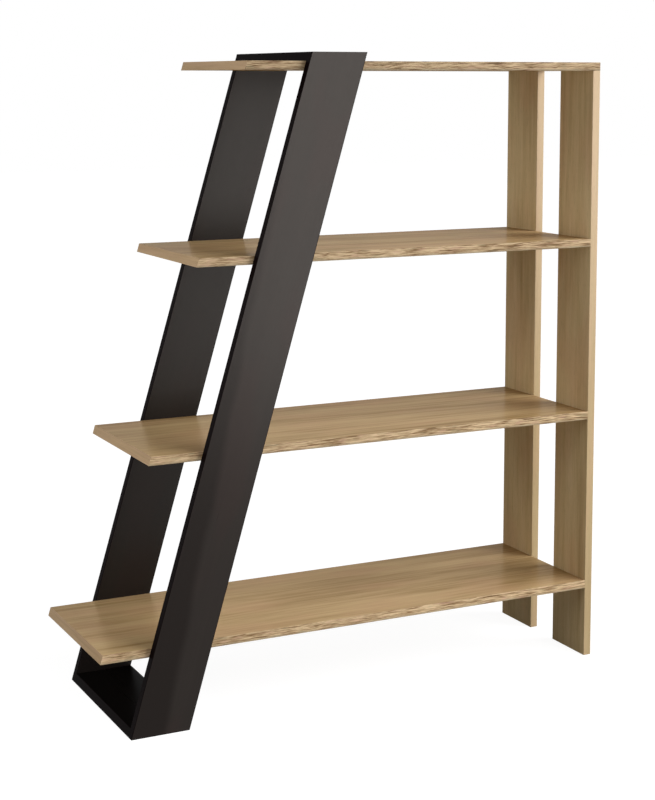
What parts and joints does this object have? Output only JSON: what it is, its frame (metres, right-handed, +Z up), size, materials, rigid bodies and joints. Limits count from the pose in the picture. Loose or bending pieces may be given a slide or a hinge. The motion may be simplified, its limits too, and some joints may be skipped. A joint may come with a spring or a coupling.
{
  "type": "shelving unit",
  "caption": "Free-standing shelving unit: oak-faced shelves of falling length held between slim uprights and a dark leaning mitred frame.",
  "frame": {"origin": "on the floor, under the middle of the unit's overall box", "axes": "+Z up; +X along the shelves, from their slanted free ends to the uprights; +Y from front to rear"},
  "size_m": [1.16, 0.38, 1.35],
  "materials": {
    "oak_board": "oak-grain laminate on board, satin, grain along the length",
    "oak_edging": "oak-look edge band, coarse grain",
    "dark_board": "dark brown-black laminate on board, satin, faint vertical grain",
    "dark_edging": "near-black edge band, satin",
    "connector_zinc": "nickel-plated die-cast zinc",
    "bolt_steel": "zinc-plated steel",
    "spline_plywood": "raw birch plywood"
  },
  "bodies": {
    "root": {"shelf_bottom": "oak_board", "shelf_bottom_front_band": "oak_edging", "shelf_bottom_rear_band": "oak_edging", "shelf_bottom_tip_band": "oak_edging", "shelf_bottom_end_band": "oak_edging", "shelf_lower": "oak_board", "shelf_lower_front_band": "oak_edging", "shelf_lower_rear_band": "oak_edging", "shelf_lower_tip_band": "oak_edging", "shelf_lower_end_band": "oak_edging", "shelf_upper": "oak_board", "shelf_upper_front_band": "oak_edging", "shelf_upper_rear_band": "oak_edging", "shelf_upper_tip_band": "oak_edging", "shelf_upper_end_band": "oak_edging", "shelf_top": "oak_board", "shelf_top_front_band": "oak_edging", "shelf_top_rear_band": "oak_edging", "shelf_top_tip_band": "oak_edging", "shelf_top_end_band": "oak_edging", "upright_front": "oak_board", "upright_front_front_band": "oak_edging", "upright_front_rear_band": "oak_edging", "upright_rear": "oak_board", "upright_rear_front_band": "oak_edging", "upright_rear_rear_band": "oak_edging", "frame_leg_front": "dark_board", "frame_leg_front_left_band": "dark_edging", "frame_leg_front_right_band": "dark_edging", "frame_leg_rear": "dark_board", "frame_leg_rear_left_band": "dark_edging", "frame_leg_rear_right_band": "dark_edging", "frame_base": "dark_board", "frame_base_left_band": "dark_edging", "frame_base_right_band": "dark_edging", "frame_top": "dark_board", "frame_top_left_band": "dark_edging", "frame_top_right_band": "dark_edging", "frame_splines": "spline_plywood", "shelf_bottom_connectors": "connector_zinc", "shelf_bottom_bolts": "bolt_steel", "shelf_lower_connectors": "connector_zinc", "shelf_lower_bolts": "bolt_steel", "shelf_upper_connectors": "connector_zinc", "shelf_upper_bolts": "bolt_steel", "shelf_top_connectors": "connector_zinc", "shelf_top_bolts": "bolt_steel", "upright_connectors": "connector_zinc", "upright_bolts": "bolt_steel"}
  },
  "joints": []
}
